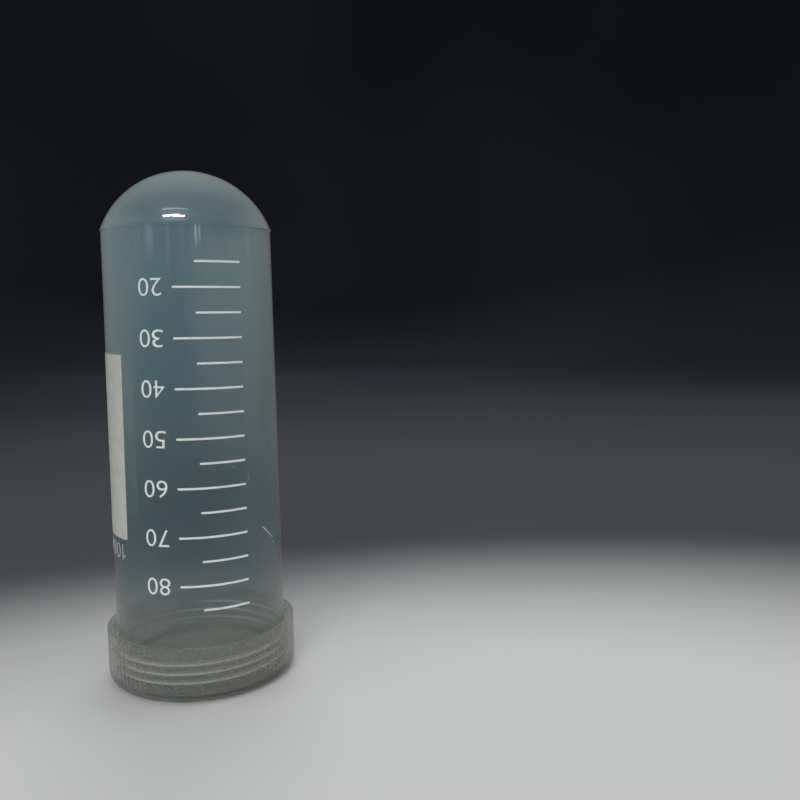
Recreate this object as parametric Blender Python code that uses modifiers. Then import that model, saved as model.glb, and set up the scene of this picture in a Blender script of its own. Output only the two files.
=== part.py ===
"""Round-bottom screw-cap test tube in translucent plastic, standing upside down on its cap.

The frame: origin at the middle of the cap's closed end, where it rests, +Z up the tube towards the
round end. Angles are measured from -Y, the side the printed scale faces, positive towards +X.
The tube unscrews from the cap about +Z, so every piece has its origin on that axis.
"""

import math

import bmesh
import bpy
from mathutils import Matrix, Vector

MM = 0.001
FACETS = 64  # straight sides round every turned piece
SHARP_ANGLE = math.radians(35.0)
MERGE_DISTANCE = 0.001 * MM  # joins a turned piece's seam and its points on the axis

# Tube body
TUBE_TOP = 113.8 * MM  # outside of the round end
RING_Z = 100.66 * MM  # parting ring, where the round end meets the body
RING_R = 18.33 * MM  # body radius at the parting ring
RING_BULGE = 0.28 * MM
RING_HALF_H = 0.25 * MM
MOUTH_Z = 12.3 * MM  # height of the cap, where the body goes into it
MOUTH_R = 18.95 * MM  # body radius there: the body has moulding draft
WALL = 1.2 * MM
BORE_MOUTH_R = MOUTH_R - WALL
BORE_RING_R = RING_R - WALL
BORE_END_RISE = 0.4 * MM  # from the parting ring up to the base of the inner round end
OUTER_END_STEPS, INNER_END_STEPS = 9, 8
RIM_Z = 2.8 * MM  # the tube's rim, inside the cap
RIM_OUTER_CHAMFER, RIM_INNER_CHAMFER = 0.25 * MM, 0.2 * MM

# Neck and screw thread
NECK_R = 18.75 * MM
NECK_TOP = 11.0 * MM
THREAD_PITCH = 2.0 * MM
THREAD_DEPTH = 0.65 * MM
THREAD_GAP = 0.28 * MM  # radial clearance between the two threads
THREAD_BASE_W = 1.10 * MM
THREAD_CREST_W = 0.50 * MM
THREAD_ROOT = 0.40 * MM  # how far a ridge reaches into its wall
THREAD_RUN_OUT = math.radians(40.0)  # turn over which the crest sinks away at each end
THREAD_END_SINK = 0.2 * MM  # depth of the crest inside the wall at the very end
CREST_TOLERANCE = 0.05 * MM  # tells the crest's vertices from the root's
THREAD_ANGLE = math.radians(-15.0)  # where the thread's reference height is taken
THREAD_Z = 4.15 * MM  # height of the tube thread's crest there
TUBE_THREAD_FROM, TUBE_THREAD_TO = 3.70 * MM, 9.40 * MM
CAP_THREAD_FROM, CAP_THREAD_TO = 4.40 * MM, 10.20 * MM

# Cap
GAP = 0.3 * MM  # clearance round the sealing lip and the seal ring
CAP_R = 21.09 * MM
CAP_EDGE_R = 2.70 * MM  # rounding of the closed end
CAP_EDGE_STEPS = 6
CAP_BORE_R = NECK_R + THREAD_DEPTH + THREAD_GAP
CAP_FLOOR = 1.4 * MM  # inside floor under the tube's rim
CAP_MOUTH_CHAMFER = 0.25 * MM  # at both edges of the skirt's open end
CAP_FLARE_H = 0.9 * MM  # height of the inner chamfer
RECESS_R, RECESS_DEPTH, RECESS_BEVEL = 16.3 * MM, 1.8 * MM, 1.1 * MM
RECESS_DRAFT = 0.3 * MM
LIP_R = BORE_MOUTH_R - GAP  # sealing lip that stands up inside the tube's mouth
LIP_TOP = 4.8 * MM
LIP_WALL = 1.0 * MM
LIP_BORE_R = LIP_R - LIP_WALL
LIP_FLOOR = 3.1 * MM  # inside floor enclosed by the lip
LIP_FOOT = 0.4 * MM  # chamfer between that floor and the lip
LIP_INNER_W, LIP_INNER_H = 0.25 * MM, 0.3 * MM  # chamfers at the lip's top
LIP_OUTER_W, LIP_OUTER_H = 0.35 * MM, 0.6 * MM
GATE_R, GATE_H, GATE_FLARE = 1.0 * MM, 0.6 * MM, 0.3 * MM

# Seal ring
SEAL_BORE_R = LIP_R + GAP
SEAL_OUT_R = 19.3 * MM

# Print
PRINT_LIFT = 0.06 * MM
INK = 0.08 * MM
PRINT_TILT = math.radians(-0.6)  # the print sits very slightly crooked
PRINT_REF_ANGLE = math.radians(10.0)  # the print is tilted about this point
PRINT_REF_Z = 56.0 * MM
PRINT_REF_R = 18.65 * MM
SCALE_FIRST, SCALE_LAST, SCALE_STEP = 15, 85, 5
SCALE_FIRST_Z = 93.22 * MM
SCALE_SPACING = 5.238 * MM
MARK_W = 0.50 * MM
MARK_COLUMN = 1.5 * MM  # widest facet of a mark
MARK_RIGHT = math.radians(34.07)
MARK_LEFT_SHORT = math.radians(2.88)
MARK_LEFT_LONG = math.radians(-11.44)
NUMERAL_ANGLE = math.radians(-25.9)
NUMERAL_H, NUMERAL_W, NUMERAL_PITCH = 3.65 * MM, 2.35 * MM, 2.85 * MM
PATCH_RIGHT = math.radians(-51.3)
PATCH_W = 26.0 * MM
PATCH_BOTTOM, PATCH_TOP = 34.1 * MM, 73.9 * MM
PATCH_COLUMN = 1.3 * MM  # widest facet of the patch
TEXT_H, TEXT_Z = 3.3 * MM, 31.2 * MM
TEXT_START = math.radians(-54.3)
TEXT_WEIGHT = -0.012  # outline offset at font size 1, which thins the strokes
LOW_LETTER = 0.74  # height of the m as a share of the others
# character, its width, and the distance of its middle from the start of the text
TEXT = (
    ("1", 1.25 * MM, 0.62 * MM),
    ("0", 2.20 * MM, 3.30 * MM),
    ("0", 2.20 * MM, 6.20 * MM),
    ("m", 3.10 * MM, 9.50 * MM),
    ("l", 0.42 * MM, 11.90 * MM),
)
# x, y of the figure one, a stem with a short flag; the built-in figure is a bare bar
FIGURE_ONE = (
    (0.30, 0.0), (0.41, 0.0), (0.41, 1.0), (0.33, 1.0),
    (0.0, 0.76), (0.0, 0.63), (0.30, 0.83),
)
FONT_RESOLUTION = 3
GLYPH_MERGE = 0.002  # joins doubled outline points at font size 1

for old in list(bpy.data.objects):
    bpy.data.objects.remove(old, do_unlink=True)

scene = bpy.context.scene
parts = bpy.data.collections.new("test_tube")
cutters = bpy.data.collections.new("test_tube_cutters")
scene.collection.children.link(parts)
scene.collection.children.link(cutters)


# ---- Materials
def plastic(name, colour, roughness, transmission=0.0, alpha=1.0):
    made = bpy.data.materials.new(name)
    made.use_nodes = True
    shader = made.node_tree.nodes["Principled BSDF"]
    shader.inputs["Base Color"].default_value = (*colour, 1.0)
    shader.inputs["Roughness"].default_value = roughness
    shader.inputs["Metallic"].default_value = 0.0
    shader.inputs["Transmission Weight"].default_value = transmission
    shader.inputs["Alpha"].default_value = alpha
    made.diffuse_color = (*colour, alpha)
    return made


TUBE_MAT = plastic(
    "clear_polypropylene", colour=(0.55, 0.63, 0.66), roughness=0.25, transmission=0.6, alpha=0.6
)
CAP_MAT = plastic(
    "frosted_polypropylene", colour=(0.66, 0.68, 0.66), roughness=0.40, transmission=0.4, alpha=0.8
)
SEAL_MAT = plastic(
    "soft_clear_silicone", colour=(0.70, 0.70, 0.67), roughness=0.50, transmission=0.3, alpha=0.8
)
INK_MAT = plastic("white_ink", colour=(0.86, 0.88, 0.86), roughness=0.60)
PATCH_MAT = plastic("patch_ink", colour=(0.80, 0.80, 0.74), roughness=0.75)


# ---- Objects and meshes
def axis_empty(name, parent=None):
    empty = bpy.data.objects.new(name, None)
    empty.empty_display_size = 0.01
    parts.objects.link(empty)
    empty.parent = parent
    return empty


def add(name, mesh, material, collection, parent=None):
    obj = bpy.data.objects.new(name, mesh)
    mesh.materials.append(material)
    collection.objects.link(obj)
    obj.parent = parent
    return obj


def mesh_from(shape, name):
    """Turns a bmesh into a new mesh and frees it."""
    mesh = bpy.data.meshes.new(name)
    shape.to_mesh(mesh)
    shape.free()
    return mesh


def evaluated_mesh(obj, name):
    bpy.context.view_layer.update()
    graph = bpy.context.evaluated_depsgraph_get()
    mesh = bpy.data.meshes.new_from_object(obj.evaluated_get(graph), depsgraph=graph)
    mesh.name = name
    return mesh


def profile_mesh(name, points, closed):
    """Edges through (radius, z) points in the XZ plane."""
    shape = bmesh.new()
    verts = [shape.verts.new((r, 0.0, z)) for r, z in points]
    for a, b in zip(verts, verts[1:]):
        shape.edges.new((a, b))
    if closed:
        shape.edges.new((verts[-1], verts[0]))
    return mesh_from(shape, name)


def apply_screw(obj, angle, rise, steps):
    """Sweeps the object's profile about Z and keeps the result as its mesh."""
    turn = obj.modifiers.new("Screw", "SCREW")
    turn.axis = "Z"
    turn.angle = angle
    turn.screw_offset = rise
    turn.steps = turn.render_steps = steps
    turn.iterations = 1
    turn.use_smooth_shade = True
    turn.use_merge_vertices = rise == 0.0
    turn.merge_threshold = MERGE_DISTANCE
    mesh = evaluated_mesh(obj, obj.name)
    obj.modifiers.clear()
    obj.data = mesh


def turned(name, points, material, parent):
    """Turns a profile once about Z: from axis to axis, or a closed loop clear of the axis."""
    profile = profile_mesh(name + "_profile", points, closed=points[0][0] > 0)
    obj = add(name, profile, material, parts, parent)
    apply_screw(obj, angle=math.tau, rise=0.0, steps=FACETS)
    obj.data.shade_smooth()
    obj.data.set_sharp_from_angle(angle=SHARP_ANGLE)
    return obj


def arc(centre_r, centre_z, radius, start, end, steps):
    """Points on a circle in the profile's plane; 0 degrees points outwards and 90 up."""
    found = []
    for i in range(steps + 1):
        a = math.radians(start + (end - start) * i / steps)
        found.append((centre_r + radius * math.cos(a), centre_z + radius * math.sin(a)))
    return found


def body_radius(z):
    """Outside radius of the tube's body, which tapers towards the round end."""
    return MOUTH_R + (RING_R - MOUTH_R) * (z - MOUTH_Z) / (RING_Z - MOUTH_Z)


def cap_of_sphere(base_r, base_z, top_z, steps):
    """Profile of a round end from its top on the axis down to its base."""
    height = top_z - base_z
    radius = (base_r**2 + height**2) / (2 * height)
    centre = top_z - radius
    base = math.degrees(math.asin((base_z - centre) / radius))
    points = arc(0.0, centre, radius, 90.0, base, steps)
    points[0] = (0.0, top_z)  # exactly on the axis
    return points


# ---- Screw threads
def helical_ridge(name, base_r, crest_r, from_z, to_z, phase_z):
    """One start of a right-hand trapezoid thread, a solid that sinks into the wall at its ends."""
    outward = 1.0 if crest_r > base_r else -1.0
    flank = (THREAD_BASE_W - THREAD_CREST_W) / 2 / abs(crest_r - base_r)
    root_half_w = THREAD_BASE_W / 2 + flank * THREAD_ROOT
    root_r = base_r - outward * THREAD_ROOT
    loop = [
        (crest_r, THREAD_CREST_W / 2),
        (crest_r, -THREAD_CREST_W / 2),
        (root_r, -root_half_w),
        (root_r, root_half_w),
    ]
    turns = (to_z - from_z) / THREAD_PITCH
    steps = round(turns * FACETS)
    obj = add(name, profile_mesh(name + "_profile", loop, closed=True), TUBE_MAT, cutters)
    apply_screw(obj, angle=turns * math.tau, rise=turns * THREAD_PITCH, steps=steps)
    mesh = obj.data

    shape = bmesh.new()
    shape.from_mesh(mesh)
    shape.verts.ensure_lookup_table()
    sunk_r = base_r - outward * THREAD_END_SINK
    for vert in shape.verts:
        r = math.hypot(vert.co.x, vert.co.y)
        if abs(r - crest_r) > CREST_TOLERANCE:
            continue
        row = vert.index // len(loop)
        along = row / steps * turns * math.tau
        share = min(1.0, min(along, turns * math.tau - along) / THREAD_RUN_OUT)
        new_r = sunk_r + (crest_r - sunk_r) * share
        vert.co.x *= new_r / r
        vert.co.y *= new_r / r
    ends = [edge for edge in shape.edges if edge.is_boundary]
    bmesh.ops.holes_fill(shape, edges=ends, sides=0)
    bmesh.ops.recalc_face_normals(shape, faces=shape.faces)
    shape.to_mesh(mesh)
    shape.free()

    # Turn the ridge so that its centre line passes the reference angle at the reference height.
    start = THREAD_ANGLE - math.pi / 2 + (from_z - phase_z) / THREAD_PITCH * math.tau
    mesh.transform(Matrix.Translation((0, 0, from_z)) @ Matrix.Rotation(start, 4, "Z"))
    obj.hide_render = True
    obj.display_type = "WIRE"
    return obj


def unite(obj, tool):
    union = obj.modifiers.new(tool.name, "BOOLEAN")
    union.operation = "UNION"
    union.solver = "EXACT"
    union.object = tool


# ---- Cap, seal ring and tube
def build_cap(parent):
    """Skirt, closed end with a recess and a central gate stub, and a sealing lip inside."""
    profile = [
        (0.0, LIP_FLOOR),
        (LIP_BORE_R - LIP_FOOT, LIP_FLOOR),
        (LIP_BORE_R, LIP_FLOOR + LIP_FOOT),
        (LIP_BORE_R, LIP_TOP - LIP_INNER_H),
        (LIP_BORE_R + LIP_INNER_W, LIP_TOP),
        (LIP_R - LIP_OUTER_W, LIP_TOP),
        (LIP_R, LIP_TOP - LIP_OUTER_H),
        (LIP_R, CAP_FLOOR),
        (CAP_BORE_R, CAP_FLOOR),
        (CAP_BORE_R, MOUTH_Z - CAP_FLARE_H),
        (CAP_BORE_R + CAP_MOUTH_CHAMFER, MOUTH_Z),
        (CAP_R - CAP_MOUTH_CHAMFER, MOUTH_Z),
        (CAP_R, MOUTH_Z - CAP_MOUTH_CHAMFER),
        *arc(CAP_R - CAP_EDGE_R, CAP_EDGE_R, CAP_EDGE_R, 0.0, -90.0, CAP_EDGE_STEPS),
        (RECESS_R + RECESS_BEVEL, 0.0),
        (RECESS_R, RECESS_BEVEL),
        (RECESS_R - RECESS_DRAFT, RECESS_DEPTH),
        (GATE_R + GATE_FLARE, RECESS_DEPTH),
        (GATE_R, RECESS_DEPTH - GATE_H),
        (0.0, RECESS_DEPTH - GATE_H),
    ]
    cap = turned("cap", profile, CAP_MAT, parent)
    # The cap's ridge runs midway between the turns of the tube's.
    thread = helical_ridge(
        "cap_thread",
        base_r=CAP_BORE_R,
        crest_r=NECK_R + THREAD_GAP,
        from_z=CAP_THREAD_FROM,
        to_z=CAP_THREAD_TO,
        phase_z=THREAD_Z + THREAD_PITCH / 2,
    )
    unite(cap, thread)


def build_seal(parent):
    """Flat ring between the cap's inside floor and the tube's rim."""
    low, high = CAP_FLOOR + GAP, RIM_Z - GAP
    profile = [(SEAL_BORE_R, high), (SEAL_OUT_R, high), (SEAL_OUT_R, low), (SEAL_BORE_R, low)]
    turned("seal_ring", profile, SEAL_MAT, parent)


def build_tube(parent):
    """Round end, parting ring, tapered body, threaded neck and open mouth."""
    outer_end = cap_of_sphere(RING_R, RING_Z + RING_HALF_H, TUBE_TOP, OUTER_END_STEPS)
    inner_end = cap_of_sphere(
        BORE_RING_R, RING_Z + BORE_END_RISE, TUBE_TOP - WALL, INNER_END_STEPS
    )
    profile = [
        *outer_end,
        (RING_R + RING_BULGE, RING_Z),
        (RING_R, RING_Z - RING_HALF_H),
        (MOUTH_R, MOUTH_Z),
        (NECK_R, NECK_TOP),
        (NECK_R, RIM_Z + RIM_OUTER_CHAMFER),
        (NECK_R - RIM_OUTER_CHAMFER, RIM_Z),
        (BORE_MOUTH_R + RIM_INNER_CHAMFER, RIM_Z),
        (BORE_MOUTH_R, RIM_Z + RIM_INNER_CHAMFER),
        (BORE_MOUTH_R, MOUTH_Z),
        *reversed(inner_end),
    ]
    tube = turned("tube", profile, TUBE_MAT, parent)
    thread = helical_ridge(
        "tube_thread",
        base_r=NECK_R,
        crest_r=NECK_R + THREAD_DEPTH,
        from_z=TUBE_THREAD_FROM,
        to_z=TUBE_THREAD_TO,
        phase_z=THREAD_Z,
    )
    unite(tube, thread)


# ---- Print: thin films of ink that follow the body's taper
def girth(angle):
    return angle * PRINT_REF_R


def wrapped(along, up):
    """A point of the flat print, along the girth and up the tube, laid on the body."""
    cos_tilt, sin_tilt = math.cos(PRINT_TILT), math.sin(PRINT_TILT)
    dx = along - girth(PRINT_REF_ANGLE)
    dz = up - PRINT_REF_Z
    angle = PRINT_REF_ANGLE + (dx * cos_tilt - dz * sin_tilt) / PRINT_REF_R
    z = PRINT_REF_Z + dx * sin_tilt + dz * cos_tilt
    r = body_radius(z) + PRINT_LIFT
    return Vector((r * math.sin(angle), -r * math.cos(angle), z))


def ink(name, mesh, material, parent):
    """Wraps a flat mesh (x along the girth, y up the tube) on the body and thickens it outwards."""
    for vert in mesh.vertices:
        vert.co = wrapped(vert.co.x, vert.co.y)
    mesh.update()
    facing = sum(p.normal.x * p.center.x + p.normal.y * p.center.y for p in mesh.polygons)
    if facing < 0:
        mesh.flip_normals()
    obj = add(name, mesh, material, parts, parent)
    film = obj.modifiers.new("Film", "SOLIDIFY")
    film.thickness = INK
    film.offset = 1.0
    film.use_rim = True


def strip(name, left, right, middle_z, height, material, column, parent):
    """A straight bar or patch of ink between two distances along the girth."""
    centre = Matrix.Translation(((left + right) / 2, middle_z, 0))
    shape = bmesh.new()
    bmesh.ops.create_grid(
        shape,
        x_segments=max(1, math.ceil((right - left) / column)),
        y_segments=1,
        size=0.5,
        matrix=centre @ Matrix.Diagonal((right - left, height, 1, 1)),
    )
    ink(name, mesh_from(shape, name), material, parent)


def glyph(name, letter, weight):
    """The flat, filled outline of one character, as a mesh."""
    if letter == "1":
        curve = bpy.data.curves.new(name + "_outline", "CURVE")
        curve.dimensions = "2D"
        curve.fill_mode = "BOTH"
        spline = curve.splines.new("POLY")
        spline.points.add(len(FIGURE_ONE) - 1)
        for point, (x, y) in zip(spline.points, FIGURE_ONE):
            point.co = (x, y, 0.0, 1.0)
        spline.use_cyclic_u = True
    else:
        curve = bpy.data.curves.new(name + "_text", "FONT")
        curve.body = letter
        curve.size = 1.0
        curve.resolution_u = FONT_RESOLUTION
        curve.offset = weight
    holder = bpy.data.objects.new(name + "_holder", curve)
    scene.collection.objects.link(holder)
    mesh = evaluated_mesh(holder, name)
    bpy.data.objects.remove(holder, do_unlink=True)
    bpy.data.curves.remove(curve)
    mesh.materials.clear()
    return mesh


def character(name, letter, middle, z, width, height, weight, parent):
    """One printed character, upright when the cap is on top, so it is upside down here."""
    mesh = glyph(name, letter, weight)
    shape = bmesh.new()
    shape.from_mesh(mesh)
    bmesh.ops.remove_doubles(shape, verts=shape.verts, dist=GLYPH_MERGE)
    xs = [vert.co.x for vert in shape.verts]
    ys = [vert.co.y for vert in shape.verts]
    for vert in shape.verts:
        x = (vert.co.x - (min(xs) + max(xs)) / 2) / (max(xs) - min(xs)) * width
        y = (vert.co.y - (min(ys) + max(ys)) / 2) / (max(ys) - min(ys)) * height
        vert.co = (middle - x, z - y, 0.0)
    shape.to_mesh(mesh)
    shape.free()
    ink(name, mesh, INK_MAT, parent)


def build_scale(parent):
    """Marks up the tube; every other one is longer and numbered."""
    right = girth(MARK_RIGHT)
    for volume in range(SCALE_FIRST, SCALE_LAST + 1, SCALE_STEP):
        z = SCALE_FIRST_Z - SCALE_SPACING * (volume - SCALE_FIRST) / SCALE_STEP
        numbered = volume % 10 == 0
        left = girth(MARK_LEFT_LONG if numbered else MARK_LEFT_SHORT)
        strip(f"scale_mark_{volume}", left, right, z, MARK_W, INK_MAT, MARK_COLUMN, parent)
        if not numbered:
            continue
        # The tens are nearer the mark, because the print is upside down here.
        for digit, place, side in zip(str(volume), ("tens", "units"), (0.5, -0.5)):
            middle = girth(NUMERAL_ANGLE) + side * NUMERAL_PITCH
            name = f"numeral_{volume}_{place}"
            character(name, digit, middle, z, NUMERAL_W, NUMERAL_H, 0.0, parent)


def build_patch(parent):
    strip(
        "writing_patch",
        left=girth(PATCH_RIGHT) - PATCH_W,
        right=girth(PATCH_RIGHT),
        middle_z=(PATCH_BOTTOM + PATCH_TOP) / 2,
        height=PATCH_TOP - PATCH_BOTTOM,
        material=PATCH_MAT,
        column=PATCH_COLUMN,
        parent=parent,
    )


def build_capacity(parent):
    """The capacity, printed below the patch."""
    for number, (letter, width, distance) in enumerate(TEXT, start=1):
        height = TEXT_H * LOW_LETTER if letter == "m" else TEXT_H
        # The letters' feet line up at the top, because the print is upside down here.
        z = TEXT_Z + (TEXT_H - height) / 2
        middle = girth(TEXT_START) - distance
        name = f"capacity_{number}_{letter}"
        character(name, letter, middle, z, width, height, TEXT_WEIGHT, parent)


# Everything that turns and lifts hangs on an empty on the screw axis.
cap_axis = axis_empty("cap_axis")
turn_axis = axis_empty("tube_turn_axis", cap_axis)
build_cap(cap_axis)
for build in (build_seal, build_tube, build_scale, build_patch, build_capacity):
    build(turn_axis)
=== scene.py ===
"""Looks of a graduated screw-cap test tube, standing on its cap.

The cap's closed end lies at z = 0, the tube's mouth is inside the cap and its round end is on top.
All pieces are turned round the Z axis. Angles are measured from -Y, the side the scale faces,
positive towards +X. The print reads upright when the cap is on top.
"""

import math

import bmesh
import bpy
import numpy as np
from mathutils import Matrix, Vector, noise


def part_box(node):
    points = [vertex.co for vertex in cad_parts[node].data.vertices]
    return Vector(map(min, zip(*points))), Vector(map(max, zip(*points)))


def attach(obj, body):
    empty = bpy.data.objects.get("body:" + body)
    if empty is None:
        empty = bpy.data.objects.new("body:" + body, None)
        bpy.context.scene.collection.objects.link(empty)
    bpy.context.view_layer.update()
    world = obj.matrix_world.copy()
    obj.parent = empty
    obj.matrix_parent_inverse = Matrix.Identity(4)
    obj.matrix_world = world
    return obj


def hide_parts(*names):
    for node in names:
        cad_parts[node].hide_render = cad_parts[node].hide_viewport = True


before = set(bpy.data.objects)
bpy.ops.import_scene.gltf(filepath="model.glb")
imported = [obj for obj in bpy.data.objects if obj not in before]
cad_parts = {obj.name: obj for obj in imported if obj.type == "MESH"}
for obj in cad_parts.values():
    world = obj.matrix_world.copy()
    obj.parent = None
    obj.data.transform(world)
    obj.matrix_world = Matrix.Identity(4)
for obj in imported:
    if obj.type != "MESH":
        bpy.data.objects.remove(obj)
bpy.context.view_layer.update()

MM = 0.001
TUBE_LOW, TUBE_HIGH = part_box("tube")
CAP_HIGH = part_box("cap")[1]
SEAL_LOW, SEAL_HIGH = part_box("seal_ring")

# ---------------------------------------------------------------- shared sizes
TUBE_TOP, RIM_Z = TUBE_HIGH.z, TUBE_LOW.z
CAP_TOP, CAP_R = CAP_HIGH.z, CAP_HIGH.x
RING_Z, RING_R = 100.66 * MM, 18.33 * MM  # the parting ring, where the round end starts
MOUTH_R = 18.95 * MM
WALL = 1.2 * MM
TUBE_BORE_R = MOUTH_R - WALL
NECK_R, NECK_TOP = 18.75 * MM, 11.0 * MM

PITCH = 2.0 * MM
THREAD_DEPTH, THREAD_GAP = 0.65 * MM, 0.28 * MM
THREAD_BASE, THREAD_CREST = 1.10 * MM, 0.50 * MM
THREAD_ANGLE, THREAD_Z = math.radians(-15.0), 4.15 * MM
TUBE_THREAD = (3.70 * MM, 9.40 * MM)
CAP_THREAD = (4.40 * MM, 10.20 * MM)

CAP_EDGE = 2.70 * MM  # radius of the skirt's rounded lower edge
CAP_BORE_R = NECK_R + THREAD_DEPTH + THREAD_GAP
CAP_FLOOR = 1.4 * MM
RECESS_R, RECESS_DEPTH, RECESS_BEVEL = 16.3 * MM, 1.8 * MM, 1.1 * MM
PLUG_R = TUBE_BORE_R - 0.3 * MM
PLUG_TOP, PLUG_WALL, PLUG_FLOOR = 4.8 * MM, 1.0 * MM, 3.1 * MM
RIBS, RIB_DEPTH = 94, 0.12 * MM

COLUMNS = 256
CAP_COLUMNS = RIBS * 2
RIB_COLUMNS = RIBS * 8
OUTSIDE, INSIDE = 0, 1  # material slots of the tube and the cap


def step(x, low, high):
    """Smooth step from 0 at low to 1 at high."""
    share = np.clip((np.asarray(x, float) - low) / (high - low), 0.0, 1.0)
    return share * share * (3 - 2 * share)


def angles(count):
    return np.arange(count) * math.tau / count


def body_radius(z):
    return MOUTH_R + (RING_R - MOUTH_R) * (z - CAP_TOP) / (RING_Z - CAP_TOP)


# ---------------------------------------------------------------- meshes and objects
def fill(mesh, shape):
    """Writes the closed bmesh into the mesh, its faces turned outwards."""
    bmesh.ops.recalc_face_normals(shape, faces=shape.faces)
    if shape.calc_volume(signed=True) < 0:
        bmesh.ops.reverse_faces(shape, faces=shape.faces)
    shape.to_mesh(mesh)
    shape.free()


def turn_outwards(mesh):
    shape = bmesh.new()
    shape.from_mesh(mesh)
    fill(mesh, shape)


def linked(name, data):
    obj = bpy.data.objects.new(name, data)
    bpy.context.scene.collection.objects.link(obj)
    return obj


def hand_over(obj, rides, node):
    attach(obj, rides)
    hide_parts(node)


def band(first, first_count, second, second_count):
    """Faces between two rings, given by first vertex and count. A count of 1 is a pole."""
    if first_count == 1:
        return [
            (first, second + j, second + (j + 1) % second_count) for j in range(second_count)
        ]
    if second_count == 1:
        return [(first + (j + 1) % first_count, first + j, second) for j in range(first_count)]
    if first_count == second_count:
        return [
            (first + j, second + j, second + (j + 1) % second_count, first + (j + 1) % first_count)
            for j in range(first_count)
        ]
    if first_count > second_count:
        ratio = first_count // second_count
        return [
            (
                *[first + (j * ratio + i) % first_count for i in range(ratio, -1, -1)],
                second + j,
                second + (j + 1) % second_count,
            )
            for j in range(second_count)
        ]
    ratio = second_count // first_count
    return [
        (
            first + (j + 1) % first_count,
            first + j,
            *[second + (j * ratio + i) % second_count for i in range(ratio + 1)],
        )
        for j in range(first_count)
    ]


class Skin:
    """A closed skin built ring by ring, from one pole on the axis to another."""

    def __init__(self, columns):
        self.columns = columns
        self.points, self.sizes, self.slots, self.relief = [], [], [], []

    def ring(self, radius, z, slot=OUTSIDE, relief=0.0, columns=None):
        """relief is stored on the points, for the materials to read."""
        count = columns or self.columns
        phi = angles(count)
        radius, z = np.broadcast_to(radius, count), np.broadcast_to(z, count)
        self.points.append(np.stack([radius * np.sin(phi), -radius * np.cos(phi), z], 1))
        self.sizes.append(count)
        self.slots.append(slot)
        self.relief.append(np.broadcast_to(relief, count))

    def rings(self, profile, slot=OUTSIDE, relief=0.0):
        for radius, z in profile:
            self.ring(radius, z, slot, relief)

    def pole(self, z, slot=OUTSIDE):
        self.points.append(np.array([[0.0, 0.0, z]]))
        self.sizes.append(1)
        self.slots.append(slot)
        self.relief.append(np.zeros(1))

    def object(self, name, materials):
        starts = [int(start) for start in np.concatenate([[0], np.cumsum(self.sizes)])]
        faces, slots = [], []
        for i in range(len(self.sizes) - 1):
            made = band(starts[i], self.sizes[i], starts[i + 1], self.sizes[i + 1])
            faces += made
            slots += [self.slots[i + 1]] * len(made)
        mesh = bpy.data.meshes.new(name)
        mesh.from_pydata(np.concatenate(self.points).tolist(), [], faces)
        mesh.polygons.foreach_set("material_index", slots)
        relief = mesh.attributes.new("relief", "FLOAT", "POINT")
        relief.data.foreach_set("value", np.concatenate(self.relief).astype(np.float32))
        turn_outwards(mesh)
        for material in materials:
            mesh.materials.append(material)
        mesh.shade_smooth()
        mesh.set_sharp_from_angle(angle=math.radians(38.0))
        return linked(name, mesh)


def arc(centre_r, centre_z, radius, start, end, steps):
    """Points on a circle in the profile's plane; 0 degrees points outwards and 90 up."""
    for i in range(steps + 1):
        turn = math.radians(start + (end - start) * i / steps)
        yield centre_r + radius * math.cos(turn), centre_z + radius * math.sin(turn)


def sphere_cap(base_r, base_z, top_z):
    """(radius, centre height, elevation of the base in degrees) of the sphere through both."""
    height = top_z - base_z
    radius = (base_r**2 + height**2) / (2 * height)
    return radius, top_z - radius, math.degrees(math.asin((base_z - top_z + radius) / radius))


def dome(sphere, counts, steps):
    """Profile points on a sphere cap: count 0 is the crown and count steps the base."""
    radius, centre_z, base = sphere
    for i in counts:
        turn = math.radians(90 + (base - 90) * i / steps)
        yield radius * math.cos(turn), centre_z + radius * math.sin(turn)


def thread(count, z, low, high, phase):
    """Height, from 0 to 1, of a one-start right-hand thread over count columns at height z."""
    turn = (angles(count) - THREAD_ANGLE) / math.tau
    near = np.round((z - phase) / PITCH - turn)
    centre = phase + (turn + near) * PITCH
    flank = (THREAD_BASE - THREAD_CREST) / 2
    crest = THREAD_CREST / 2
    shape = 1 - step(np.abs(z - centre), crest - flank * 0.15, crest + flank)
    fade = PITCH * 40 / 360  # both ends run out over 40 degrees
    return shape * step(centre, low, low + fade) * (1 - step(centre, high - fade, high))


# ---------------------------------------------------------------- material workshop
class Value:
    """A node's output. Arithmetic on it adds Math nodes to its tree."""

    def __init__(self, tree, socket):
        self.tree, self.socket = tree, socket

    def __add__(self, other):
        return self.tree.math("ADD", self, other)

    def __sub__(self, other):
        return self.tree.math("SUBTRACT", self, other)

    def __mul__(self, other):
        return self.tree.math("MULTIPLY", self, other)

    def __truediv__(self, other):
        return self.tree.math("DIVIDE", self, other)

    def __pow__(self, other):
        return self.tree.math("POWER", self, other)

    def __abs__(self):
        return self.tree.math("ABSOLUTE", self)

    def ramp(self, over, to=(0.0, 1.0), smooth=True):
        """Maps the range over onto the range to, and holds the ends."""
        kind = "SMOOTHSTEP" if smooth else "LINEAR"
        settings = {"interpolation_type": kind, "clamp": True}
        return self.tree.node("ShaderNodeMapRange", self, *over, *to, settings=settings)

    def window(self, at, half, soft):
        """1 within half of the angle at, falling to 0 over soft; all in degrees."""
        off = abs(self - math.radians(at))
        half = math.radians(half)
        return off.ramp(over=(half, half + math.radians(soft)), to=(1.0, 0.0))


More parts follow.
